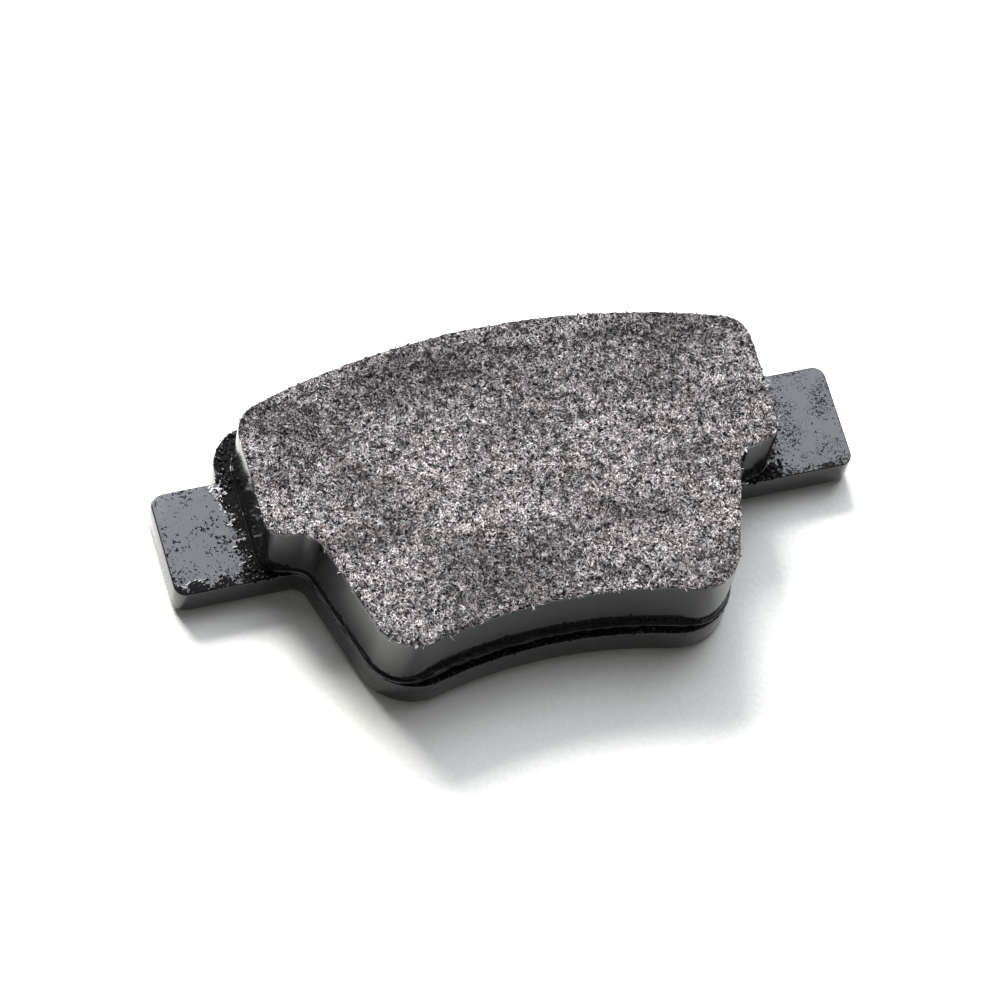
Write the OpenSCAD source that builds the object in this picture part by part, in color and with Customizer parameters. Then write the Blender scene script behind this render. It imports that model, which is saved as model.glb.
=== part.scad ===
// Disc brake pad with a two-eared steel backing plate, a moulded friction block and a laminated
// noise shim on its back. Millimetres. The pad lies on its shim: +Z points out of the friction
// face, +Y points from the disc's axle to its rim, and the origin is on the shim's outer face,
// in the middle of the line that joins the two ears.

/* [Outline of the pad] */
// Radius of the outer edge of the friction face, about the axle of the disc
rim_r = 124.5; // [105:0.1:160]
// Height of the outer edge above the centre line of the ears, in the middle of the pad
rim_rise = 20.3; // [17:0.1:26]
// Depth of the inner edge below the centre line of the ears, in the middle of the pad
heel_drop = 26.9; // [22:0.1:34]

/* [Friction block] */
// Half the width of the friction block across its upper part
block_half_w = 41; // [34:0.1:50]
// Thickness of the friction block
block_t = 10.7; // [2:0.1:14]
// Thickness of the damping underlayer between the block and the plate
underlayer_t = 2; // [1:0.1:4]
// Thickness of the bonding film between the underlayer and the plate
film_t = 0.2; // [0.1:0.05:0.4]
// How far the bonding film stays back from the edge of the stack
film_inset = 0.3; // [0:0.05:1]
// Width of the step from the upper part in to the tapered lower part
step_w = 7; // [4.5:0.1:9]
// How far the inner end of the step stays inside the near edge of the ear
step_margin = 0.15; // [0:0.05:1]
// Slope of the step, rising outwards, in degrees
step_angle = 14; // [5:0.5:25]
// Slope of the tapered flanks from the pad's long-side direction, in degrees
flank_angle = 17.5; // [10:0.5:24]
// Radius of the upper corners
rim_corner_r = 4.8; // [2:0.1:6]
// Radius of the outer corner of the step
step_corner_r = 2.2; // [1:0.1:3]
// Radius of the hollow corner where the step meets the flank
step_fillet_r = 3.2; // [1:0.1:4]
// Radius of the lower corners
heel_corner_r = 6.8; // [4:0.1:9]

/* [Backing plate] */
// Thickness of the steel plate
plate_t = 5.5; // [4:0.1:7]
// How far the plate stands out past the stack at the outer edge
rim_margin = 2.6; // [1:0.1:4]
// How far the plate stands out past the stack at each upper side
side_margin = 2.5; // [1:0.1:4]
// How far the plate stands out past the stack along the flanks
flank_margin = 0.6; // [0.2:0.05:1.5]
// How far the plate stands out past the stack at the inner edge
heel_margin = 1.6; // [0.5:0.1:3]
// Radius of the plate's upper corners
plate_rim_corner_r = 6.5; // [3:0.1:8]
// Radius of the plate's lower corners
plate_heel_corner_r = 9; // [4:0.1:10]

/* [Ears] */
// Length of the plate from the end of one ear to the end of the other
ear_span = 109; // [98:0.1:135]
// Height of each ear, which slides in the carrier
ear_h = 17.5; // [14:0.1:21]
// Radius of the corners at the ear's end
ear_corner_r = 2; // [0.5:0.1:4]
// Radius of the hollow corner between the ear and the flank
ear_near_fillet_r = 2.5; // [1:0.1:4]
// Radius of the hollow corner between the ear and the upper side
ear_far_fillet_r = 1.5; // [0.5:0.1:2]

/* [Moulding holes] */
// Radius of the two through holes that key the underlayer into the plate
key_hole_r = 5; // [3:0.1:6]
// Distance from the block's upper side in to each moulding hole
key_hole_edge = 24; // [20:0.1:28]
// Depth of the moulding holes below the centre line of the ears
key_hole_drop = 2; // [0:0.1:5]
// Shrinkage gap round each moulded plug
plug_gap = 0.05; // [0.02:0.01:0.1]

/* [Shim pips] */
// Radius of the two half-sheared pips that locate the shim
pip_r = 2.5; // [1.5:0.1:3.5]
// Distance from the block's upper side in to each pip
pip_edge = 10; // [6:0.1:14]
// Height of the pips above the centre line of the ears
pip_rise = 4; // [0:0.1:6]
// How far each pip stays below the outer face of the shim
pip_recess = 0.15; // [0.05:0.05:0.3]
// Gap between a pip and its hole in the shim, all round
pip_gap = 0.25; // [0.1:0.05:0.5]

/* [Noise shim] */
// How far the shim stays back from the outline of the friction stack
shim_inset = 1.5; // [0.5:0.1:2]
// How far the adhesive and the rubber stay back from the edge of the shim's steel sheets
shim_core_inset = 0.3; // [0:0.05:0.5]
// Thickness of the adhesive film that holds the shim to the plate
shim_adhesive_t = 0.15; // [0.1:0.05:0.3]
// Thickness of the shim's inner steel sheet
shim_inner_t = 0.35; // [0.2:0.05:0.8]
// Thickness of the rubber core between the two steel sheets
shim_core_t = 0.15; // [0.1:0.05:0.5]
// Thickness of the shim's outer steel sheet
shim_outer_t = 0.35; // [0.2:0.05:0.8]

/* [Hidden] */

// Levels of the layers above the surface that the pad lies on
core_z = shim_outer_t;
inner_z = core_z + shim_core_t;
adhesive_z = inner_z + shim_inner_t;
plate_z = adhesive_z + shim_adhesive_t;
film_z = plate_z + plate_t;
underlayer_z = film_z + film_t;
block_z = underlayer_z + underlayer_t;

// Axle of the disc, about which both long edges are struck
axle = [0, rim_rise - rim_r];
heel_r = rim_r - rim_rise - heel_drop;

// Outward directions, on the right half of the pad, of the flank, the step and the sides
flank_n = [cos(flank_angle), -sin(flank_angle)];
flank_u = [sin(flank_angle), cos(flank_angle)];
step_n = [sin(step_angle), -cos(step_angle)];
right_n = [1, 0];
near_n = [0, -1];
far_n = [0, 1];

// Reach of the flank and step lines from the origin, through the inner end of the step
step_end = [block_half_w - step_w, step_margin - ear_h / 2];
flank_reach = flank_n * step_end;
step_reach = step_n * step_end;

// Longest chord of a curved stretch, as an angle on corners and on the two long edges
corner_step = 10;
edge_step = 1.5;
// Extra length of a cutter past the face that it cuts through
through = 1;
$fn = 64;

// Points round an arc about c, from angle a0 to angle a1, at steps of at most da degrees
function arc(c, r, a0, a1, da = corner_step) =
    let (n = max(1, ceil(abs(a1 - a0) / da)))
    [for (i = [0 : n]) let (a = a0 + (a1 - a0) * i / n) c + r * [cos(a), sin(a)]];

// Direction of a vector in degrees
function heading(v) = atan2(v[1], v[0]);

// Point where the lines n1 * p = d1 and n2 * p = d2 cross
function meet(n1, d1, n2, d2) =
    let (k = n1[0] * n2[1] - n1[1] * n2[0])
    [(d1 * n2[1] - d2 * n1[1]) / k, (d2 * n1[0] - d1 * n2[0]) / k];

// Convex corner of radius r between two straight edges
function corner(n1, d1, n2, d2, r) =
    arc(meet(n1, d1 - r, n2, d2 - r), r, heading(n1), heading(n2));

// Hollow corner of radius r between two straight edges
function fillet(n1, d1, n2, d2, r) =
    arc(meet(n1, d1 + r, n2, d2 + r), r, heading(n1) + 180, heading(n2) + 180);

// Centre of the upper corner of radius r, inside radius ro and the side at x = w
function rim_corner_c(ro, w, r) = [w - r, sqrt(pow(ro - r, 2) - pow(w - r, 2)) + axle[1]];

// Largest upper corner radius that leaves the side straight up to y
function rim_corner_limit(ro, w, y) =
    (pow(ro, 2) - pow(w, 2) - pow(y - axle[1], 2)) / (2 * (ro - w));

// Centre of the lower corner of radius r, outside radius ri and within the flank's reach
function heel_corner_c(ri, reach, r) =
    let (q = flank_n * (reach - r) - axle, b = q * flank_u)
    flank_n * (reach - r) + flank_u * (sqrt(b * b - q * q + pow(ri + r, 2)) - b);

// Whole outline: inner edge, lower corner, the given points up to the side, upper corner and
// outer edge of the right half, then the same mirrored
function pad_outline(ri, ro, reach, heel_corner, middle, w, rim_corner) =
    let (
        hc = heel_corner_c(ri, reach, heel_corner),
        rc = rim_corner_c(ro, w, rim_corner),
        half = concat(
            arc(axle, ri, 90, heading(hc - axle), edge_step),
            arc(hc, heel_corner, heading(axle - hc), heading(flank_n)),
            middle,
            arc(rc, rim_corner, 0, heading(rc - axle)),
            arc(axle, ro, heading(rc - axle), 90, edge_step)
        )
    )
    concat(half, [for (i = [len(half) - 2 : -1 : 1]) [-half[i][0], half[i][1]]]);

// Outline of the friction stack drawn in by g all round
function stack_outline(g) =
    let (
        middle = concat(
            fillet(flank_n, flank_reach - g, step_n, step_reach - g, step_fillet_r + g),
            corner(step_n, step_reach - g, right_n, block_half_w - g, max(step_corner_r - g, 0.2))
        ),
        side_top = middle[len(middle) - 1][1],
        limit = rim_corner_limit(rim_r - g, block_half_w - g, side_top)
    )
    pad_outline(heel_r + g, rim_r - g, flank_reach - g, heel_corner_r - g, middle,
        block_half_w - g, min(rim_corner_r - g, limit));

// Outline of the backing plate with its two ears
function plate_outline() =
    let (
        reach = flank_reach + flank_margin,
        side = block_half_w + side_margin,
        edge = ear_h / 2,
        end = ear_span / 2,
        middle = concat(
            fillet(flank_n, reach, near_n, edge, ear_near_fillet_r),
            corner(near_n, edge, right_n, end, ear_corner_r),
            corner(right_n, end, far_n, edge, ear_corner_r),
            arc([side, edge] + ear_far_fillet_r * [1, 1], ear_far_fillet_r, 270, 180)
        ),
        limit = rim_corner_limit(rim_r + rim_margin, side, edge + ear_far_fillet_r)
    )
    pad_outline(heel_r - heel_margin, rim_r + rim_margin, reach, plate_heel_corner_r, middle,
        side, min(plate_rim_corner_r, limit));

// A sheet of the stack's outline, drawn in by g, from level z up
module stack_sheet(g, z, t) {
    translate([0, 0, z])
        linear_extrude(t)
            polygon(stack_outline(g));
}

// One round post or cutter at each moulding hole
module at_key_holes(r, z, t) {
    for (side = [-1, 1])
        translate([side * (block_half_w - key_hole_edge), -key_hole_drop, z])
            cylinder(r = r, h = t);
}

// One round post or cutter at each pip
module at_pips(r, z, t) {
    for (side = [-1, 1])
        translate([side * (block_half_w - pip_edge), pip_rise, z])
            cylinder(r = r, h = t);
}

// A sheet of the shim, with a hole round each pip
module shim_sheet(g, z, t) {
    difference() {
        stack_sheet(shim_inset + g, z, t);
        at_pips(pip_r + pip_gap + g, z - through, t + 2 * through);
    }
}

// Stamped steel plate: pips on its back, matching dimples in its front, two moulding holes
module backing_plate() {
    pip_h = plate_z - pip_recess;
    color("#16171a")
        difference() {
            union() {
                translate([0, 0, plate_z])
                    linear_extrude(plate_t)
                        polygon(plate_outline());
                at_pips(pip_r, pip_recess, plate_z - pip_recess + plate_t / 2);
            }
            at_pips(pip_r, film_z - pip_h, pip_h + through);
            at_key_holes(key_hole_r, plate_z - through, plate_t + 2 * through);
        }
}

// Adhesive between the plate and the moulded stack
module bond_film() {
    color("#5a3b1e")
        difference() {
            stack_sheet(film_inset, film_z, film_t);
            at_key_holes(key_hole_r, film_z - through, film_t + 2 * through);
            at_pips(pip_r, film_z - through, film_t + 2 * through);
        }
}

// Damping layer, keyed into the plate's moulding holes and dimples
module underlayer() {
    pip_h = plate_z - pip_recess;
    color("#3a3733")
        union() {
            stack_sheet(0, underlayer_z, underlayer_t);
            at_key_holes(key_hole_r - plug_gap, plate_z, underlayer_z - plate_z + underlayer_t / 2);
            at_pips(pip_r - plug_gap, film_z - pip_h + plug_gap, film_t + pip_h + underlayer_t / 2);
        }
}

// Moulded friction lining with its ground face
module friction_block() {
    color("#6f6a66")
        stack_sheet(0, block_z, block_t);
}

// Pressure-sensitive adhesive of the shim
module shim_adhesive() {
    color("#c9b98a")
        shim_sheet(shim_core_inset, adhesive_z, shim_adhesive_t);
}

// Steel sheet of the shim next to the plate
module shim_inner_steel() {
    color("#8d9094")
        shim_sheet(0, inner_z, shim_inner_t);
}

// Rubber core of the shim
module shim_rubber_core() {
    color("#222222")
        shim_sheet(shim_core_inset, core_z, shim_core_t);
}

// Steel sheet of the shim that the piston pushes on
module shim_outer_steel() {
    color("#2a2b2d")
        shim_sheet(0, 0, shim_outer_t);
}

backing_plate();
bond_film();
underlayer();
friction_block();
shim_adhesive();
shim_inner_steel();
shim_rubber_core();
shim_outer_steel();
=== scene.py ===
"""Disc brake pad: finishes, surface relief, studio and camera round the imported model."""

import logging
import math
import random
from dataclasses import dataclass
from enum import Enum

import bmesh
import bpy
import numpy as np
from mathutils import Matrix, Vector, noise


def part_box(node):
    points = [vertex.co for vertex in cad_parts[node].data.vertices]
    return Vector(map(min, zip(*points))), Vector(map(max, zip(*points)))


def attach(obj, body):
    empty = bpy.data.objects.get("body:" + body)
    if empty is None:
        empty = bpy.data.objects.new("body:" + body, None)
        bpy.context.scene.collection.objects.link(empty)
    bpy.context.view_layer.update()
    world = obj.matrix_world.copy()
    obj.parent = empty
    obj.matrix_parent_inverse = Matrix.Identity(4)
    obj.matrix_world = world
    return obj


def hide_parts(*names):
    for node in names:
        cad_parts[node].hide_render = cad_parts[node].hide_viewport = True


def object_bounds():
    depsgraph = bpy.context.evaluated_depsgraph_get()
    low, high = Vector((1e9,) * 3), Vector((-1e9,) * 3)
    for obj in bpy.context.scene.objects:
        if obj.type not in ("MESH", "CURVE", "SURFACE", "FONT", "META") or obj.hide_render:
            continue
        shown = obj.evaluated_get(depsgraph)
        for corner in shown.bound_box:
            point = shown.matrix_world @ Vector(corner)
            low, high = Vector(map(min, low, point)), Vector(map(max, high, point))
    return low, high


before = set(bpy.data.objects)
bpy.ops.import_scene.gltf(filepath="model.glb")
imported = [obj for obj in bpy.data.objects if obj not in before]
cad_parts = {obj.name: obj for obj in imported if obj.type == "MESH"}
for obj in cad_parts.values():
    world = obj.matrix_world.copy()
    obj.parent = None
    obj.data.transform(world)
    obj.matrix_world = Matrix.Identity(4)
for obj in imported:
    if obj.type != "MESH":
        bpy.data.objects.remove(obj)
CAD_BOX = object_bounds()

MM = 0.001
# Angle between faces above which an edge stays sharp, for pieces that are smooth all over
SMOOTH_DEG = 180
LOG = logging.getLogger("brake_pad")
Colour = tuple[float, float, float]


# ---------------------------------------------------------------- shader building


class Channel:
    """A number that varies over a surface, with Python arithmetic that adds Math nodes."""

    def __init__(self, shader: "Shader", socket: bpy.types.NodeSocket) -> None:
        """Wraps one output socket of a shader's tree."""
        self.shader = shader
        self.socket = socket

    def _math(self, operation: str, *values: object) -> "Channel":
        """Adds one Math node on the given numbers or channels."""
        node = self.shader.node("ShaderNodeMath", {"operation": operation}, *values)
        return Channel(self.shader, node.outputs[0])

    def __add__(self, other: object) -> "Channel":
        """Sum."""
        return self._math("ADD", self, other)

    def __radd__(self, other: object) -> "Channel":
        """Sum with a number on the left."""
        return self._math("ADD", other, self)

    def __sub__(self, other: object) -> "Channel":
        """Difference."""
        return self._math("SUBTRACT", self, other)

    def __rsub__(self, other: object) -> "Channel":
        """Difference from a number on the left."""
        return self._math("SUBTRACT", other, self)

    def __mul__(self, other: object) -> "Channel":
        """Product."""
        return self._math("MULTIPLY", self, other)

    def __rmul__(self, other: object) -> "Channel":
        """Product with a number on the left."""
        return self._math("MULTIPLY", other, self)

    def __pow__(self, other: object) -> "Channel":
        """Power."""
        return self._math("POWER", self, other)

    def __abs__(self) -> "Channel":
        """Size without sign."""
        return self._math("ABSOLUTE", self)

    def least(self, other: object) -> "Channel":
        """Smaller of the two."""
        return self._math("MINIMUM", self, other)

    def most(self, other: object) -> "Channel":
        """Larger of the two."""
        return self._math("MAXIMUM", self, other)

    def step(self, low: float, high: float) -> "Channel":
        """Smooth rise from 0 to 1 as this goes from low to high, or a fall if low is above high.

        Args:
            low: Value at which the result is 0.
            high: Value at which the result is 1.

        Returns:
            The eased channel, held between 0 and 1.
        """
        node = self.shader.node(
            "ShaderNodeMapRange", {"interpolation_type": "SMOOTHSTEP"}, self, low, high
        )
        return Channel(self.shader, node.outputs[0])


class Shader:
    """One material and the nodes that make its finish."""

    def __init__(self, name: str) -> None:
        """Starts an empty tree whose patterns are laid out in millimetres on Object coordinates.

        Args:
            name: Name of the material.
        """
        self.material = bpy.data.materials.new(name)
        self.material.use_nodes = True
        self.tree = self.material.node_tree
        self.tree.nodes.clear()
        place = self.node("ShaderNodeTexCoord").outputs["Object"]
        scaled = self.node("ShaderNodeVectorMath", {"operation": "SCALE"}, place, Scale=1 / MM)
        self.place = scaled.outputs[0]
        split = self.node("ShaderNodeSeparateXYZ", None, self.place)
        self.x, self.y, self.z = (Channel(self, s) for s in split.outputs)

    def node(
        self, kind: str, settings: dict | None = None, *values: object, **named: object
    ) -> bpy.types.Node:
        """Adds a node.

        Args:
            kind: Type of the node.
            settings: Properties of the node, set before its sockets.
            *values: Numbers, colours, channels or sockets for its inputs in order; None skips one.
            **named: The same, by the input's name with underscores for spaces.

        Returns:
            The new node.
        """
        made = self.tree.nodes.new(kind)
        for key, value in (settings or {}).items():
            setattr(made, key, value)
        pairs = [(made.inputs[i], v) for i, v in enumerate(values) if v is not None]
        pairs += [(made.inputs[k.replace("_", " ")], v) for k, v in named.items()]
        for socket, value in pairs:
            if isinstance(value, Channel):
                value = value.socket
            if isinstance(value, bpy.types.NodeSocket):
                self.tree.links.new(value, socket)
            else:
                socket.default_value = value
        return made

    def stretched(self, x: float, y: float, z: float, shift: float = 0.0) -> bpy.types.NodeSocket:
        """Pattern coordinates in millimetres, scaled along each axis and shifted.

        Args:
            x: Scale along the X axis.
            y: Scale along the Y axis.
            z: Scale along the Z axis.
            shift: How far the pattern is moved.

        Returns:
            The coordinates.
        """
        made = self.node(
            "ShaderNodeMapping", None, self.place, (shift, -shift, shift), Scale=(x, y, z)
        )
        return made.outputs[0]

    def grain(
        self,
        size: float,
        detail: float = 2.0,
        rough: float = 0.5,
        warp: float = 0.0,
        place: bpy.types.NodeSocket | None = None,
        shift: float = 0.0,
    ) -> Channel:
        """Cloudy noise.

        Args:
            size: Size of its largest blotches in millimetres.
            detail: Number of finer layers.
            rough: Strength of the finer layers.
            warp: How far the noise is pulled out of shape.
            place: Coordinates in millimetres, the plain ones if None.
            shift: Offset that makes this noise unlike another of the same size.

        Returns:
            A channel round 0.5.
        """
        if place is None:
            place = self.stretched(1, 1, 1, shift) if shift else self.place
        made = self.node(
            "ShaderNodeTexNoise", None, place, Scale=1 / size, Detail=detail,
            Roughness=rough, Distortion=warp,
        )
        return Channel(self, made.outputs[0])

    def cells(
        self, size: float, place: bpy.types.NodeSocket | None = None
    ) -> tuple[Channel, bpy.types.NodeSocket]:
        """Distance from scattered points, and a random colour round each of them.

        Args:
            size: Spacing of the points in millimetres.
            place: Coordinates in millimetres, the plain ones if None.

        Returns:
            The distance as a share of the spacing, and the colour.
        """
        made = self.node("ShaderNodeTexVoronoi", None, place or self.place, Scale=1 / size)
        return Channel(self, made.outputs["Distance"]), made.outputs["Color"]

    def mix(self, share: object, first: object, second: object) -> bpy.types.NodeSocket:
        """Colour that goes from first to second as share goes from 0 to 1.

        Args:
            share: Where between the two colours.
            first: Colour at 0.
            second: Colour at 1.

        Returns:
            The mixed colour.
        """
        made = self.node("ShaderNodeMix", {"data_type": "RGBA"})
        inputs = (made.inputs[0], made.inputs[6], made.inputs[7])
        for socket, value in zip(inputs, (share, first, second)):
            if isinstance(value, Channel):
                value = value.socket
            if isinstance(value, bpy.types.NodeSocket):
                self.tree.links.new(value, socket)
            elif isinstance(value, tuple):
                socket.default_value = (*value, 1.0)
            else:
                socket.default_value = value
        return made.outputs[2]

    def parts(self, colour: bpy.types.NodeSocket) -> list[Channel]:
        """Red, green and blue of a colour as channels."""
        made = self.node("ShaderNodeSeparateColor", None, colour)
        return [Channel(self, socket) for socket in made.outputs]

    def relief(self, height: Channel, depth_mm: float, strength: float = 1.0) -> bpy.types.NodeSocket:
        """Surface normal bent by a height pattern that is depth_mm deep from 0 to 1."""
        depth = depth_mm * MM
        made = self.node("ShaderNodeBump", None, Strength=strength, Distance=depth, Height=height)
        return made.outputs[0]

    def surface(self, **sockets: object) -> bpy.types.NodeSocket:
        """Principled surface with the given sockets.

        Args:
            **sockets: Values or links of its sockets by name.

        Returns:
            The surface's output.
        """
        for key, value in sockets.items():
            if isinstance(value, tuple) and len(value) == 3:
                sockets[key] = (*value, 1.0)
        return self.node("ShaderNodeBsdfPrincipled", None, **sockets).outputs[0]

    def finish(self, dull: Channel | None = None, **sockets: object) -> bpy.types.Material:
        """Joins a Principled surface with the given sockets to the output.

        Args:
            dull: Share of the surface that is dead black grit instead, none of it if None.
            **sockets: Values or links of the Principled sockets by name.

        Returns:
            The material.
        """
        made = self.surface(**sockets)
        if dull is not None:
            black = self.surface(
                Base_Color=(0.004, 0.004, 0.0045), Roughness=0.75, Specular_IOR_Level=0.05,
                Normal=sockets["Normal"],
            )
            made = self.node("ShaderNodeMixShader", None, dull, made, black).outputs[0]
        self.node("ShaderNodeOutputMaterial", None, made)
        return self.material


# ---------------------------------------------------------------- finishes


@dataclass(frozen=True)
class GlossPaint:
    """Black stoving enamel, smooth on walls and gritty on the level ground round the stack."""

    name: str
    colour: Colour = (0.0062, 0.0062, 0.0066)
    roughness: float = 0.08
    peel_mm: float = 1.7
    peel_depth: float = 0.010
    gritty_half_mm: float = 0.0
    near_edge_mm: float = 0.0
    lumpy: bool = False

    def grit(self, s: Shader) -> tuple[Channel, Channel]:
        """Grit that lies in the enamel on level faces.

        Args:
            s: Shader to add the nodes to.

        Returns:
            Its height in millimetres, and where it is dead black.
        """
        wander = (s.grain(2.6, 3, 0.6, shift=11.0) - 0.5) * 8.0
        side = s.x.step(-10.0, 10.0)
        inner = (self.gritty_half_mm + 3.0 - side * 1.5 - abs(s.x) + wander).step(-0.8, 2.0)
        near = (3.4 - side * 1.8 - s.y - self.near_edge_mm + wander * 0.9).step(0.0, 3.2)
        dense = inner.most(near)
        cluster = s.grain(3.4, 2, 0.5, shift=41.0)
        level = Channel(s, s.node("ShaderNodeSeparateXYZ", None,
                                  s.node("ShaderNodeNewGeometry").outputs["Normal"]).outputs[2])
        flat = level.step(0.7, 0.95)
        speck = s.grain(0.55, 3, 0.7, warp=0.4, shift=5.0)
        sparse = (speck + cluster * 0.55 - side * 0.01).step(0.875, 0.915)
        crowded = (speck + dense * 0.30).step(0.64, 0.71)
        fine = s.grain(0.38, 3, 0.7, warp=0.4, shift=19.0)
        dots = s.grain(0.30, 2, 0.6, shift=71.0).step(0.57, 0.65) * cluster.step(0.40, 0.60)
        sparse = sparse.most(dots * side * 0.8)
        black = sparse.most(crowded * dense.step(0.1, 0.4)) * flat * (1.0 - side * 0.15)
        return (sparse * 0.06 + dense * (crowded * 0.05 + fine * 0.14)) * flat, black

    def build(self) -> bpy.types.Material:
        """Makes the enamel: orange peel, grit, and dust that dulls it in places.

        Returns:
            The material.
        """
        s = Shader(self.name)
        height = s.grain(self.peel_mm, 2, 0.5) * self.peel_depth
        black = None
        if self.gritty_half_mm:
            grit, black = self.grit(s)
            height = height + grit
        elif self.lumpy:
            black = s.grain(0.35, 2, 0.6, warp=0.5, shift=8.0).step(0.38, 0.46)
        dust = s.grain(7.0, 4, 0.6, shift=3.0).step(0.45, 0.75)
        rough = dust * 0.05 + self.roughness
        colour = s.mix(dust * 0.5, self.colour, tuple(c * 1.6 for c in self.colour))
        return s.finish(
            black, Base_Color=colour, Roughness=rough, IOR=1.52, Normal=s.relief(height, 1.0)
        )


@dataclass(frozen=True)
class GroundFriction:
    """Ground friction compound: grey-brown matrix, pale matted fibres, metal flecks and pores."""

    name: str = "ground_friction"
    dark: Colour = (0.003, 0.003, 0.0035)
    warm: Colour = (0.080, 0.058, 0.054)
    cool: Colour = (0.046, 0.043, 0.053)
    fibre: Colour = (0.80, 0.72, 0.705)
    fleck: Colour = (0.86, 0.84, 0.83)
    rust: Colour = (0.14, 0.07, 0.045)

    @staticmethod
    def shade(s: Shader) -> tuple[Channel, Channel, Channel]:
        """Broad light and dark areas of the face.

        Args:
            s: Shader to add the nodes to.

        Returns:
            How light each place is, where small clumps are, and where the face is cooler: its far
            side and a blob at its upper middle.
        """
        patch = s.grain(9.0, 4, 0.6, place=s.stretched(0.45, 1.0, 1.0))
        clump = s.grain(1.6, 2, 0.5, shift=13.0)
        # Darker and cooler towards the far side, +Y, and in a blob at the upper middle of the face.
        far_side = (s.y + (patch - 0.5) * 34.0).step(2.0, 17.0)
        across, along = (s.x + 12.0) * 0.09, (s.y - 12.0) * 0.17
        dark_blob = (across * across + along * along + (clump - 0.5) * 1.2).step(1.2, 0.1)
        light = (patch * 0.65 + clump * 0.35).step(0.37, 0.64) * 0.75 + 0.47
        light = light * (1.0 - far_side * 0.25) * (1.0 - dark_blob * 0.30)
        return light, clump, far_side.most(dark_blob)

    def colour(self, s: Shader) -> tuple[bpy.types.NodeSocket, Channel]:
        """Builds the mottled colour and the height that goes with it.

        Args:
            s: Shader to add the nodes to.

        Returns:
            The colour and the height from 0 to 1.
        """
        light, clump, far_side = self.shade(s)
        tone = s.grain(5.5, 3, 0.6, shift=21.0)
        grit = s.grain(0.34, 2, 0.7, warp=0.8)
        mat = s.grain(0.70, 2, 0.6, warp=2.0, shift=2.0)
        weave = s.grain(0.52, 2, 0.5, warp=2.4, shift=7.0)
        curls = abs(mat - 0.5).step(0.028, 0.006)
        curls = curls.most(abs(weave - 0.5).step(0.020, 0.005) * 0.85)
        pores = s.grain(0.55, 3, 0.65, warp=0.8, shift=17.0).step(0.49, 0.41)
        flecks = s.grain(1.1, 3, 0.8, warp=1.2, shift=51.0).step(0.62, 0.69)
        rust = s.grain(1.1, 3, 0.7, warp=0.8, shift=61.0).step(0.60, 0.70)

        base = s.mix(tone.step(0.42, 0.60).most(far_side), self.warm, self.cool)
        lit = s.mix(grit.step(0.47, 0.55), self.dark, base)
        lit = s.mix(grit.step(0.55, 0.66) * 0.85, lit, self.fibre)
        lit = s.mix(curls * (clump.step(0.35, 0.6) * 0.65 + 0.20), lit, self.fibre)
        lit = s.mix(pores, lit, self.dark)
        lit = s.mix(rust * 0.55, lit, self.rust)
        lit = s.mix(flecks * 0.65, lit, self.fleck)
        made = s.node("ShaderNodeVectorMath", {"operation": "SCALE"}, lit, Scale=light)
        height = grit * 0.6 + curls * 0.25 - pores * 0.5 + 0.4
        return made.outputs[0], height

    def build(self) -> bpy.types.Material:
        """Makes the friction face's material.

        Returns:
            The material.
        """
        s = Shader(self.name)
        colour, height = self.colour(s)
        return s.finish(
            Base_Color=colour, Roughness=0.7, Specular_IOR_Level=0.06,
            Normal=s.relief(height, 0.14),
        )


@dataclass(frozen=True)
class PaintedWall:
    """Side wall of the moulded stack: smooth enamel that is torn away along the ground edge."""

    top_mm: float
    name: str = "painted_wall"
    tear_mm: float = 0.45
    paint: Colour = (0.0085, 0.0082, 0.0084)

    def build(self) -> bpy.types.Material:
        """Makes the wall's material, with bare friction compound along its top edge.

        Returns:
            The material.
        """
        s = Shader(self.name)
        stone, stone_height = GroundFriction().colour(s)
        ragged = s.grain(1.3, 3, 0.6, shift=31.0) * self.tear_mm
        bare = (s.z + ragged - self.top_mm).step(0.06, 0.16)
        wave = s.grain(5.0, 2, 0.5) * 0.020 + s.grain(1.2, 2, 0.5) * 0.003
        pin = s.grain(0.9, 2, 0.5, shift=9.0).step(0.70, 0.78)
        height = wave - pin * 0.02 + bare * stone_height * 0.10
        colour = s.mix(bare, self.paint, stone)
        rough = bare * 0.5 + 0.12
        return s.finish(
            Base_Color=colour, Roughness=rough, IOR=1.52, Normal=s.relief(height, 1.0)
        )


@dataclass(frozen=True)
class FibrePale:
    """Loose mineral and metal fibres on the friction face."""

    name: str = "pale_fibre"

    def build(self) -> bpy.types.Material:
        """Makes the fibres' material, with a tone of its own for each cluster.

        Returns:
            The material.
        """
        s = Shader(self.name)
        _, tint = s.cells(0.7)
        red, green, blue = s.parts(tint)
        tone = s.mix(red.step(0.15, 0.95), (0.02, 0.018, 0.018), (0.88, 0.82, 0.80))
        tone = s.mix(green.step(0.90, 0.95), tone, (0.16, 0.09, 0.06))
        rough = blue * 0.3 + 0.4
        worn = s.grain(0.3, 2, 0.5)
        light = GroundFriction.shade(s)[0]
        made = s.node("ShaderNodeVectorMath", {"operation": "SCALE"}, tone, Scale=light * 1.1)
        return s.finish(
            Base_Color=made.outputs[0], Roughness=rough, Normal=s.relief(worn, 0.03)
        )


@dataclass(frozen=True)
class SheetMetal:
    """Rolled sheet with faint scratches along its length."""

    name: str
    colour: Colour
    metallic: float
    roughness: float

    def build(self) -> bpy.types.Material:
        """Makes the sheet's material.

        Returns:
            The material.
        """
        s = Shader(self.name)
        lines = s.grain(0.5, 3, 0.6, place=s.stretched(0.04, 1.0, 1.0))
        blot = s.grain(6.0, 3, 0.6, shift=4.0)
        tone = s.mix(blot.step(0.35, 0.7) * 0.5, self.colour, tuple(c * 0.6 for c in self.colour))
        rough = lines * 0.16 + self.roughness
        return s.finish(
            Base_Color=tone, Metallic=self.metallic, Roughness=rough,
            Normal=s.relief(lines, 0.006),
        )


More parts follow.
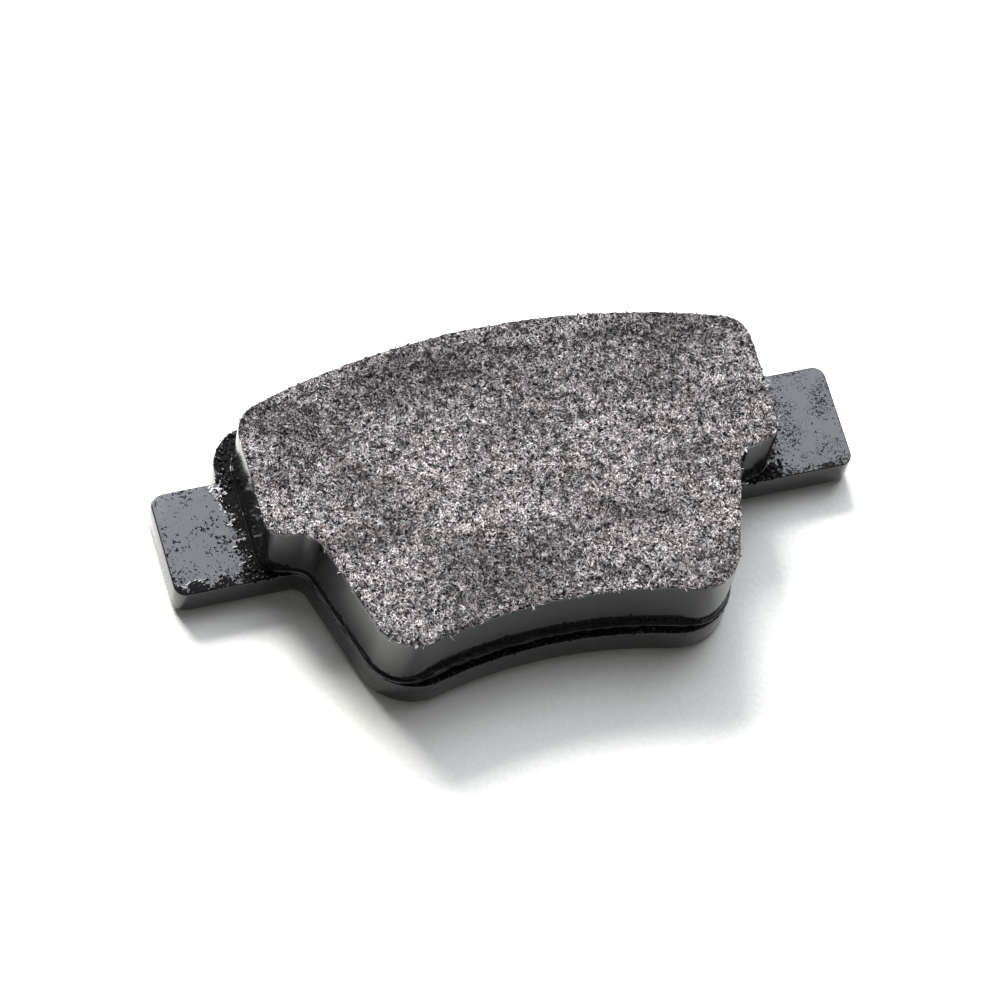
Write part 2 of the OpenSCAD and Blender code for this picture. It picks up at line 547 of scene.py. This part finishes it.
@dataclass(frozen=True)
class SoftFilm:
    """Adhesive or rubber layer with a matt, slightly pitted skin."""

    name: str
    colour: Colour
    roughness: float

    def build(self) -> bpy.types.Material:
        """Makes the film's material.

        Returns:
            The material.
        """
        s = Shader(self.name)
        skin = s.grain(0.6, 3, 0.6)
        tone = s.mix(s.grain(3.0, 2, 0.5).step(0.35, 0.7), self.colour,
                     tuple(c * 0.7 for c in self.colour))
        return s.finish(
            Base_Color=tone, Roughness=skin * 0.2 + self.roughness, Normal=s.relief(skin, 0.02)
        )


@dataclass(frozen=True)
class StudioFloor:
    """Matt white sweep with a faint leathery grain, lit up far from the pad."""

    name: str = "studio_floor"

    def build(self) -> bpy.types.Material:
        """Makes the floor's material.

        Returns:
            The material.
        """
        s = Shader(self.name)
        grain = s.grain(0.9, 3, 0.6)
        tone = s.mix(grain.step(0.3, 0.7), (0.80, 0.783, 0.728), (0.84, 0.822, 0.765))
        away = (s.x * s.x + s.y * s.y) ** 0.5
        glow = s.mix(away.step(500.0, 1400.0), (0.0, 0.0, 0.0), (1.0, 1.0, 1.0))
        return s.finish(
            Base_Color=tone, Roughness=0.75, Normal=s.relief(grain, 0.12),
            Emission_Color=glow, Emission_Strength=1.1,
        )


# ---------------------------------------------------------------- shape building


class Outline:
    """A closed line in plan, in metres."""

    def __init__(self, points: list[tuple[float, float]]) -> None:
        """Keeps the corners anticlockwise, from the leftmost and then lowest one.

        A loop read off a mesh starts at any corner and runs either way, and what is laid
        along the line must not depend on that.

        Args:
            points: The corners in order.
        """
        corners = np.array(points, float)
        x, y = corners.T
        if float(np.sum(x * np.roll(y, -1) - np.roll(x, -1) * y)) < 0:
            corners = corners[::-1]
        first = int(np.lexsort((corners[:, 1].round(7), corners[:, 0].round(7)))[0])
        self.points = np.roll(corners, -first, axis=0)
        self.ends = np.roll(self.points, -1, axis=0)

    def inside(self, where: np.ndarray) -> np.ndarray:
        """Tells which points are inside.

        Args:
            where: Points as rows of x and y.

        Returns:
            One truth value a point.
        """
        found = np.zeros(len(where), bool)
        for (x0, y0), (x1, y1) in zip(self.points, self.ends):
            if y0 == y1:
                continue
            spans = (y0 > where[:, 1]) != (y1 > where[:, 1])
            cross = x0 + (where[:, 1] - y0) * (x1 - x0) / (y1 - y0)
            found ^= spans & (where[:, 0] < cross)
        return found

    def nearest(self, where: np.ndarray) -> tuple[np.ndarray, np.ndarray]:
        """Finds the closest place on the line.

        Args:
            where: Points as rows of x and y.

        Returns:
            The distances and the closest places.
        """
        best = np.full(len(where), np.inf)
        place = np.zeros((len(where), 2))
        for start, end in zip(self.points, self.ends):
            run = end - start
            along = np.clip(((where - start) @ run) / max(run @ run, 1e-18), 0, 1)
            spot = start + along[:, None] * run
            gap = np.linalg.norm(where - spot, axis=1)
            closer = gap < best
            best[closer] = gap[closer]
            place[closer] = spot[closer]
        return best, place

    def spaced(self, pitch: float) -> np.ndarray:
        """Points along the line about pitch apart.

        Args:
            pitch: Distance aimed at, in metres.

        Returns:
            Points as rows of x and y.
        """
        made = []
        for start, end in zip(self.points, self.ends):
            count = max(1, round(float(np.linalg.norm(end - start)) / pitch))
            made += [start + (end - start) * i / count for i in range(count)]
        return np.array(made)


def merged_copy(name: str) -> bmesh.types.BMesh:
    """Copy of a CAD node with its doubles merged and its flat faces whole.

    Args:
        name: Name of the CAD node.

    Returns:
        A new bmesh, which the caller frees.
    """
    bm = bmesh.new()
    bm.from_mesh(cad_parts[name].data)
    bmesh.ops.remove_doubles(bm, verts=bm.verts, dist=1e-6)
    bmesh.ops.dissolve_limit(
        bm, angle_limit=math.radians(0.4), use_dissolve_boundaries=False,
        verts=bm.verts, edges=bm.edges, delimit=set(),
    )
    return bm


def rim_loops(bm: bmesh.types.BMesh, level: float) -> list[list[bmesh.types.BMVert]]:
    """Closed loops of sharp edges that lie at one level.

    Args:
        bm: Mesh to look in.
        level: Height of the loops in metres.

    Returns:
        Each loop's vertices in order.
    """
    edges = [
        e for e in bm.edges
        if all(abs(v.co.z - level) < 1e-6 for v in e.verts)
        and len(e.link_faces) == 2 and e.calc_face_angle(0.0) > math.radians(60)
    ]
    left, loops = set(edges), []
    while left:
        edge = left.pop()
        loop = [edge.verts[0], edge.verts[1]]
        while True:
            onward = [e for e in loop[-1].link_edges if e in left]
            if not onward:
                break
            left.discard(onward[0])
            loop.append(onward[0].other_vert(loop[-1]))
        loops.append(loop[:-1] if loop[-1] is loop[0] else loop)
    return loops


def longest_loop(bm: bmesh.types.BMesh, level: float) -> list[bmesh.types.BMVert]:
    """The outermost loop at a level."""
    return max(rim_loops(bm, level), key=lambda loop: max(v.co.x for v in loop))


def to_object(
    name: str, bm: bmesh.types.BMesh, materials: list[bpy.types.Material], sharp_deg: float
) -> bpy.types.Object:
    """Makes an object of a bmesh, with smooth faces and sharp edges past an angle.

    Args:
        name: Name of the piece.
        bm: Its mesh, which is freed.
        materials: Its material slots.
        sharp_deg: Angle between faces above which an edge stays sharp.

    Returns:
        The object, linked to the scene at the origin.
    """
    mesh = bpy.data.meshes.new(name)
    bm.to_mesh(mesh)
    bm.free()
    return mesh_object(name, mesh, materials, sharp_deg)


def mesh_object(
    name: str, mesh: bpy.types.Mesh, materials: list[bpy.types.Material], sharp_deg: float
) -> bpy.types.Object:
    """Makes an object of a mesh, as to_object does of a bmesh.

    Args:
        name: Name of the piece.
        mesh: Its mesh.
        materials: Its material slots.
        sharp_deg: Angle between faces above which an edge stays sharp.

    Returns:
        The object, linked to the scene at the origin.
    """
    mesh.name = name
    for material in materials:
        mesh.materials.append(material)
    mesh.shade_smooth()
    mesh.set_sharp_from_angle(angle=math.radians(sharp_deg))
    made = bpy.data.objects.new(name, mesh)
    bpy.context.scene.collection.objects.link(made)
    return made


class Cut(Enum):
    """What a cut keeps."""

    COMMON = "INTERSECT"


def cut(part: bmesh.types.BMesh, tool: bmesh.types.BMesh, kind: Cut) -> bmesh.types.BMesh:
    """Cuts one closed mesh with another.

    Args:
        part: Mesh to cut, which is freed.
        tool: Mesh to cut with, which is freed.
        kind: What is kept.

    Returns:
        The result as a new bmesh.
    """
    pair = []
    for bm in (part, tool):
        mesh = bpy.data.meshes.new("cut")
        bm.to_mesh(mesh)
        bm.free()
        pair.append(bpy.data.objects.new("cut", mesh))
        bpy.context.scene.collection.objects.link(pair[-1])
    change = pair[0].modifiers.new("cut", "BOOLEAN")
    change.operation = kind.value
    change.solver = "MANIFOLD"
    change.object = pair[1]
    done = pair[0].evaluated_get(bpy.context.evaluated_depsgraph_get())
    made = bmesh.new()
    made.from_mesh(done.to_mesh())
    done.to_mesh_clear()
    for o in pair:
        mesh = o.data
        bpy.data.objects.remove(o)
        bpy.data.meshes.remove(mesh)
    return made


def report(piece: bpy.types.Object) -> None:
    """Logs a finished piece."""
    mesh = piece.data
    LOG.info("%s: %d vertices, %d faces", piece.name, len(mesh.vertices), len(mesh.polygons))


# ---------------------------------------------------------------- backing plate


@dataclass
class BackingPlate:
    """Stamped steel plate with two ears, in lumpy black enamel."""

    stack: Outline
    grit_tries: int = 30000
    bead_step_mm: float = 0.45
    seed: int = 5
    edge_mm: float = 0.4
    edge_steps: int = 4
    ledge_mm: float = 2.7

    def __post_init__(self) -> None:
        """Reads the plate's levels and outline off the CAD node."""
        low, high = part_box("bond_film")
        self.top = low.z
        bm = merged_copy("backing_plate")
        walls = [f for f in bm.faces if abs(f.normal.z) < 0.01]
        self.bottom = min(
            v.co.z for f in walls for v in f.verts
            if not self.stack.inside(np.array([[v.co.x, v.co.y]]))[0]
        )
        self.outline = Outline([(v.co.x, v.co.y) for v in longest_loop(bm, self.top)])
        bm.free()

    def body(self) -> bpy.types.Object:
        """Rounds the plate's outer edges and paints it.

        Returns:
            The piece.
        """
        bm = merged_copy("backing_plate")
        edges = []
        for level in (self.top, self.bottom):
            loop = set(longest_loop(bm, level))
            edges += [e for e in bm.edges if e.verts[0] in loop and e.verts[1] in loop
                      and e.calc_face_angle(0.0) > math.radians(60)]
        bmesh.ops.bevel(
            bm, geom=edges, offset=self.edge_mm * MM, offset_type="OFFSET", affect="EDGES",
            segments=self.edge_steps, profile=0.5, material=-1, clamp_overlap=True,
        )
        reach = self.outline.points.max()
        ear_half = max(abs(y) for x, y in self.outline.points if abs(x) > 0.95 * reach)
        paint = GlossPaint(
            "plate_enamel", gritty_half_mm=self.stack.points.max() / MM, near_edge_mm=ear_half / MM
        ).build()
        piece = to_object("plate_painted", bm, [paint], 35)
        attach(piece, "root")
        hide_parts("backing_plate")
        return piece

    def crumbs(self) -> bpy.types.Object:
        """Scatters grit that is caught under the enamel, thick on the ledge, thin on the ears.

        Returns:
            The piece.
        """
        dice = random.Random(self.seed)
        noise.seed_set(self.seed)  # else noise_vector starts from the clock
        bm = bmesh.new()
        low, high = self.outline.points.min(0), self.outline.points.max(0)
        tries = np.array([[dice.uniform(low[0], high[0]), dice.uniform(low[1], high[1])]
                          for _ in range(self.grit_tries)])
        keep = self.outline.inside(tries) & ~self.stack.inside(tries)
        tries = tries[keep]
        to_edge = self.outline.nearest(tries)[0] / MM
        to_stack = self.stack.nearest(tries)[0] / MM
        half = self.stack.points[:, 0].max()
        for (x, y), edge, wall in zip(tries, to_edge, to_stack):
            ledge = wall < self.ledge_mm
            over = 0.14 if ledge and abs(x) > 0.9 * half and edge < self.ledge_mm else 0.0
            if edge < 0.12 - over:
                continue
            drift = noise.noise(Vector((x, y, 0)) / (2.5 * MM))
            if ledge:
                on_ear = edge > self.ledge_mm
                chance = 0.45 + 1.2 * drift if on_ear else 0.9
                size = dice.uniform(0.12, 0.28 if on_ear else 0.55)
                flat = dice.uniform(0.35, 0.7)
            else:
                near = max(0.0, 1 - edge / 2.5) * (y < 0)
                chance = 0.03 + 0.5 * math.exp((self.ledge_mm - wall) / 1.4) + 0.25 * near
                chance *= 0.35 + 1.8 * max(0.0, drift + 0.15)
                size, flat = dice.uniform(0.07, 0.20), dice.uniform(0.25, 0.5)
            if dice.random() > chance:
                continue
            size = min(size, edge * 0.9 + over) * MM
            spin = Matrix.Rotation(dice.uniform(0, math.tau), 4, "Z")
            tip = Matrix.Rotation(dice.uniform(-0.5, 0.5), 4, "X")
            shape = Matrix.Diagonal((dice.uniform(0.8, 2.0), dice.uniform(0.6, 1.1), flat, 1))
            place = Matrix.Translation((x, y, self.top + size * 0.02))
            bmesh.ops.create_icosphere(
                bm, subdivisions=1, radius=size, matrix=place @ spin @ tip @ shape)
        box_low, box_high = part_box("backing_plate")
        for v in bm.verts:
            v.co += noise.noise_vector(v.co / (0.22 * MM)) * 0.06 * MM
            v.co.x = min(max(v.co.x, box_low.x), box_high.x)
            v.co.y = min(max(v.co.y, box_low.y), box_high.y)
        enamel = GlossPaint("grit_enamel", roughness=0.30, lumpy=True).build()
        piece = to_object("enamel_grit", bm, [enamel], SMOOTH_DEG)
        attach(piece, "root")
        return piece

    def bead(self) -> bpy.types.Object:
        """Lays the bead of enamel along the foot of the stack.

        Returns:
            The piece.
        """
        spots = self.stack.spaced(self.bead_step_mm * MM)
        run = np.roll(spots, -1, axis=0) - np.roll(spots, 1, axis=0)
        out = np.stack([run[:, 1], -run[:, 0]], axis=1)
        out /= np.linalg.norm(out, axis=1)[:, None]
        curve = bpy.data.curves.new("bead", "CURVE")
        curve.dimensions = "3D"
        curve.bevel_depth = 0.42 * MM
        curve.bevel_resolution = 3
        line = curve.splines.new("POLY")
        line.points.add(len(spots) - 1)
        line.use_cyclic_u = True
        half = self.stack.points[:, 0].max()
        for point, (x, y), (ox, oy) in zip(line.points, spots, out):
            wander = noise.noise(Vector((x, y, 0)) / (3 * MM))
            lift = noise.noise(Vector((x, y, 1)) / (1.2 * MM))
            shift = (0.06 + 0.10 * wander) * MM
            point.co = (x + ox * shift, y + oy * shift, self.top + (0.12 + 0.08 * lift) * MM, 1)
            point.radius = (0.95 + 0.35 * lift) * (0.3 if abs(x) > 0.95 * half else 1.0)
        holder = bpy.data.objects.new("bead", curve)
        bpy.context.scene.collection.objects.link(holder)
        mesh = bpy.data.meshes.new_from_object(holder)
        bpy.data.objects.remove(holder)
        enamel = GlossPaint("bead_enamel", peel_mm=0.9).build()
        piece = mesh_object("enamel_bead", mesh, [enamel], SMOOTH_DEG)
        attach(piece, "root")
        return piece


# ---------------------------------------------------------------- friction stack


@dataclass
class FrictionStack:
    """Moulded friction block on its underlayer, with a ground face and painted walls."""

    burr_step_mm: float = 0.28
    stray_step_mm: float = 0.35
    seed: int = 11
    grid_mm: float = 0.28
    fibres: int = 5400
    edge_fibres: int = 50

    def __post_init__(self) -> None:
        """Reads the block's levels and outline off its CAD node."""
        low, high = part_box("friction_block")
        self.low, self.high = low, high
        bm = merged_copy("friction_block")
        self.outline = Outline([(v.co.x, v.co.y) for v in longest_loop(bm, high.z)])
        bm.free()

    def gridded(self) -> bmesh.types.BMesh:
        """Block with a finely divided face and walls ringed near the ground edge.

        Returns:
            The mesh.
        """
        block = merged_copy("friction_block")
        for v in block.verts:
            if v.co.z > self.high.z - 1e-6:
                v.co.z += 1 * MM
        for depth in (0.25, 0.55, 1.1):
            bmesh.ops.bisect_plane(
                block, geom=block.verts[:] + block.edges[:] + block.faces[:],
                plane_co=(0, 0, self.high.z - depth * MM), plane_no=(0, 0, 1),
            )
        slab = bmesh.new()
        size = self.high - self.low
        count = [math.ceil((s + 2 * MM) / (self.grid_mm * MM)) for s in (size.x, size.y)]
        centre = (self.high + self.low) / 2
        bmesh.ops.create_grid(
            slab, x_segments=count[0], y_segments=count[1], size=0.5,
            matrix=Matrix.Translation((centre.x, centre.y, self.high.z))
            @ Matrix.Diagonal((count[0] * self.grid_mm * MM, count[1] * self.grid_mm * MM, 1, 1)),
        )
        rim = [e for e in slab.edges if e.is_boundary]
        sides = bmesh.ops.extrude_edge_only(slab, edges=rim)["geom"]
        foot = [g for g in sides if isinstance(g, bmesh.types.BMVert)]
        for v in foot:
            v.co.z = self.low.z - 1 * MM
        bmesh.ops.holes_fill(slab, edges=[e for e in slab.edges if e.is_boundary], sides=0)
        bmesh.ops.recalc_face_normals(slab, faces=slab.faces)
        return cut(slab, block, Cut.COMMON)

    def block(self) -> bpy.types.Object:
        """Works pores, grain and a crumbled edge into the block.

        Returns:
            The piece.
        """
        bm = self.gridded()
        bm.verts.ensure_lookup_table()
        where = np.array([v.co for v in bm.verts])
        gap, spot = self.outline.nearest(where[:, :2])
        top = self.high.z
        for v, (x, y, z), d, near in zip(bm.verts, where, gap / MM, spot):
            depth = (top - z) / MM
            if depth > 0.6 and d < 0.01:
                continue
            here = Vector((x, y, 0)) / MM
            chip = noise.fractal(here / 1.5, 1.0, 2.0, 4, noise_basis="PERLIN_ORIGINAL")
            crumb = max(0.0, chip + 0.22)
            if depth < 0.02:
                grain = noise.noise(here / 0.9) * 0.5 + noise.noise(here / 0.4) * 0.5
                pore = max(0.0, noise.noise(here / 1.7 + Vector((9, 4, 2))) - 0.30)
                drop = 0.08 + 0.07 * grain + 0.40 * pore
                drop += crumb * 0.45 * max(0.0, 1 - d / 0.5)
                v.co.z = top - max(0.0, drop) * MM
            if d < 0.01:
                inward = Vector((-near[0], -near[1], 0)).normalized()
                nick = abs(noise.noise(here / 0.45 + Vector((0, 0, depth))))
                bite = (0.03 + 0.30 * nick + 0.20 * crumb) * max(0.0, 1 - depth / 0.6)
                v.co += inward * bite * MM
        materials = [GroundFriction().build(), PaintedWall(top / MM).build()]
        for face in bm.faces:
            face.material_index = 0 if face.normal.z > 0.5 else 1
        piece = to_object("friction_ground", bm, materials, 50)
        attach(piece, "root")
        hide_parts("friction_block")
        return piece

    def burr(self) -> bpy.types.Object:
        """Hangs torn crumbs of paint on the ground edge, thickest along its outer arc.

        Returns:
            The piece.
        """
        dice = random.Random(self.seed + 1)
        noise.seed_set(self.seed + 1)  # else noise_vector starts from the clock
        bm = bmesh.new()
        for x, y in self.outline.spaced(self.burr_step_mm * MM):
            share = 0.07 + 0.32 * (y > 0) * (0.5 + noise.noise(Vector((x, y, 0)) / (4 * MM)))
            if dice.random() > share:
                continue
            size = dice.uniform(0.07, 0.15 if dice.random() < 0.94 else 0.36) * MM
            spin = Matrix.Rotation(dice.uniform(0, math.tau), 4, "Z")
            shape = Matrix.Diagonal((dice.uniform(0.8, 2.0), dice.uniform(0.6, 1.0), 0.8, 1))
            sunk = 0.9 * size + dice.uniform(0.04, 0.16) * MM
            place = Matrix.Translation((x * 1.001, y * 1.001, self.high.z - sunk))
            bmesh.ops.create_icosphere(bm, subdivisions=1, radius=size, matrix=place @ spin @ shape)
        for v in bm.verts:
            v.co += noise.noise_vector(v.co / (0.18 * MM)) * 0.05 * MM
        enamel = GlossPaint("burr_enamel", roughness=0.2, lumpy=True).build()
        piece = to_object("edge_burr", bm, [enamel], SMOOTH_DEG)
        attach(piece, "root")
        return piece

    def base_layer(self) -> bpy.types.Object:
        """Paints the underlayer's wall like the block's.

        Returns:
            The piece.
        """
        bm = merged_copy("underlayer")
        paint = PaintedWall(self.high.z / MM, "underlayer_wall").build()
        piece = to_object("underlayer_painted", bm, [paint], 50)
        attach(piece, "root")
        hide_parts("underlayer")
        return piece

    def coarse_fibres(self) -> bpy.types.Object:
        """Lays the longer and thicker fibres."""
        return self.loose_fibres("friction_fibres", 0.036, 1.3, self.seed)

    def fine_fibres(self) -> bpy.types.Object:
        """Lays the shorter and thinner fibres."""
        return self.loose_fibres("friction_fibres_fine", 0.027, 0.9, self.seed + 2)

    def loose_fibres(
        self, name: str, half_mm: float, reach_mm: float, seed: int
    ) -> bpy.types.Object:
        """Lays short curled fibres in the ground face, a few of them over its edge.

        Args:
            name: Name of the piece.
            half_mm: Usual radius of a fibre.
            reach_mm: Length of the longest.
            seed: Start of the random order.

        Returns:
            The piece.
        """
        dice = random.Random(seed)
        low, high = self.outline.points.min(0), self.outline.points.max(0)
        tries = np.array([[dice.uniform(low[0], high[0]), dice.uniform(low[1], high[1])]
                          for _ in range(int(self.fibres * 1.35))])
        tries = tries[self.outline.inside(tries)][: self.fibres]
        edge = self.outline.spaced(self.stray_step_mm * MM)
        strays = edge[[dice.randrange(len(edge)) for _ in range(self.edge_fibres)]]
        tries = np.concatenate([tries, strays * 0.995])
        curve = bpy.data.curves.new("fibres", "CURVE")
        curve.dimensions = "3D"
        curve.bevel_depth = half_mm * MM
        curve.bevel_resolution = 0
        curve.use_fill_caps = True
        top = self.high.z
        for x, y in tries:
            length = dice.uniform(0.25, reach_mm) * MM
            turn = dice.uniform(0, math.tau)
            bend = dice.uniform(-1.6, 1.6)
            line = curve.splines.new("POLY")
            line.points.add(3)
            width = dice.uniform(0.6, 1.35)
            spot = Vector((x, y, 0))
            for i, point in enumerate(line.points):
                share = i / 3
                height = -0.12 + 0.06 * math.sin(math.pi * share)
                point.co = (*spot.xy, top + height * MM, 1)
                point.radius = width * (1.0 if 0 < i < 3 else 0.55)
                heading = turn + bend * share
                spot += Vector((math.cos(heading), math.sin(heading), 0)) * length / 3
        holder = bpy.data.objects.new("fibres", curve)
        bpy.context.scene.collection.objects.link(holder)
        mesh = bpy.data.meshes.new_from_object(holder)
        bpy.data.objects.remove(holder)
        piece = mesh_object(name, mesh, [FibrePale().build()], SMOOTH_DEG)
        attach(piece, "root")
        return piece


# ---------------------------------------------------------------- carried layers


@dataclass
class ThinLayers:
    """Films and shim sheets whose CAD solids are kept and only get their finish."""

    def dress(self) -> list[bpy.types.Object]:
        """Gives each carried node its material.

        Returns:
            The nodes.
        """
        finishes = {
            "bond_film": SoftFilm("bond_adhesive", (0.05, 0.028, 0.014), 0.45),
            "shim_adhesive": SoftFilm("shim_adhesive_film", (0.42, 0.35, 0.22), 0.5),
            "shim_inner_steel": SheetMetal("shim_sheet_steel", (0.45, 0.46, 0.48), 1.0, 0.28),
            "shim_rubber_core": SoftFilm("shim_rubber", (0.018, 0.018, 0.018), 0.6),
            "shim_outer_steel": SheetMetal("shim_coated_steel", (0.035, 0.036, 0.04), 0.4, 0.38),
        }
        nodes = []
        for name, finish in finishes.items():
            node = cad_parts[name]
            node.data.materials.clear()
            node.data.materials.append(finish.build())
            nodes.append(node)
        return nodes


# ---------------------------------------------------------------- studio


@dataclass
class Studio:
    """Floor, lights, sky and camera."""

    azimuth: float = 30.219
    elevation: float = 62.864
    roll: float = 16.225
    distance: float = 1.0
    lens_mm: float = 232.7
    sensor_mm: float = 36.0
    target_mm: tuple[float, float, float] = (-0.209, -0.8025, 1.0)
    floor_half: float = 6.0
    sky: float = 0.18

    def floor(self) -> bpy.types.Object:
        """Lays the floor under the lowest point of the pad.

        Returns:
            The floor.
        """
        bm = bmesh.new()
        bmesh.ops.create_grid(
            bm, x_segments=1, y_segments=1, size=self.floor_half,
            matrix=Matrix.Translation((0, 0, CAD_BOX[0].z)),
        )
        made = to_object("studio_floor", bm, [StudioFloor().build()], 30)
        return made

    def softbox(
        self, name: str, azimuth: float, elevation: float, distance: float,
        size: tuple[float, float], watts: float, colour: Colour = (1, 1, 1),
    ) -> None:
        """Hangs one soft light that faces the pad.

        Args:
            name: Name of the light.
            azimuth: Direction from the pad, in degrees from +Y towards +X.
            elevation: Height above the floor, in degrees.
            distance: Distance from the pad in metres.
            size: Width and height in metres.
            watts: Power.
            colour: Tint.
        """
        lamp = bpy.data.lights.new(name, "AREA")
        lamp.energy = watts
        lamp.shape = "RECTANGLE"
        lamp.size, lamp.size_y = size
        lamp.color = colour
        made = bpy.data.objects.new(name, lamp)
        bpy.context.scene.collection.objects.link(made)
        a, e = math.radians(azimuth), math.radians(elevation)
        away = Vector((math.cos(e) * math.sin(a), math.cos(e) * math.cos(a), math.sin(e)))
        turn = away.to_track_quat("Z", "Y").to_matrix().to_4x4()
        made.matrix_world = Matrix.Translation(away * distance) @ turn

    def light(self) -> None:
        """Sets the lights and an even sky that the camera sees as white."""
        self.softbox("sky_card", 30, 63, 1.2, (0.9, 0.9), 14.5, (0.84, 0.90, 1.0))
        self.softbox("key", -9, 39.5, 1.4, (0.7, 0.7), 60.0)
        world = bpy.data.worlds.new("sky")
        world.use_nodes = True
        nodes, links = world.node_tree.nodes, world.node_tree.links
        ground = nodes["Background"]
        ground.inputs["Strength"].default_value = self.sky
        ground.inputs["Color"].default_value = (1, 1, 1, 1)
        white = nodes.new("ShaderNodeBackground")
        white.inputs["Strength"].default_value = 1.3
        path = nodes.new("ShaderNodeLightPath")
        blend = nodes.new("ShaderNodeMixShader")
        links.new(path.outputs["Is Camera Ray"], blend.inputs[0])
        links.new(ground.outputs[0], blend.inputs[1])
        links.new(white.outputs[0], blend.inputs[2])
        links.new(blend.outputs[0], nodes["World Output"].inputs["Surface"])
        bpy.context.scene.world = world

    def camera(self) -> None:
        """Points the camera at the pad from its own angle, with its roll."""
        a, e, r = (math.radians(v) for v in (self.azimuth, self.elevation, self.roll))
        ahead = Vector((math.sin(a) * math.cos(e), math.cos(a) * math.cos(e), -math.sin(e)))
        right = Vector((math.cos(a), -math.sin(a), 0))
        up = right.cross(ahead)
        right, up = (
            right * math.cos(r) + up * math.sin(r),
            up * math.cos(r) - right * math.sin(r),
        )
        lens = bpy.data.cameras.new("camera")
        lens.sensor_width = self.sensor_mm
        lens.lens = self.lens_mm
        lens.clip_end = 100
        made = bpy.data.objects.new("camera", lens)
        bpy.context.scene.collection.objects.link(made)
        place = Matrix((right, up, -ahead)).transposed().to_4x4()
        place.translation = Vector(self.target_mm) * MM - ahead * self.distance
        made.matrix_world = place
        bpy.context.scene.camera = made
        bpy.context.scene.view_settings.view_transform = "Standard"


def main() -> None:
    """Builds the sub-assemblies in order, then the studio."""
    logging.basicConfig(level=logging.INFO, format="%(message)s")
    stack = FrictionStack()
    plate = BackingPlate(stack.outline)
    for make in (plate.body, plate.crumbs, plate.bead,
                 stack.base_layer, stack.block, stack.coarse_fibres, stack.fine_fibres,
                 stack.burr):
        report(make())
    for node in ThinLayers().dress():
        report(node)
    studio = Studio()
    report(studio.floor())
    studio.light()
    studio.camera()


if __name__ == "__main__":
    main()
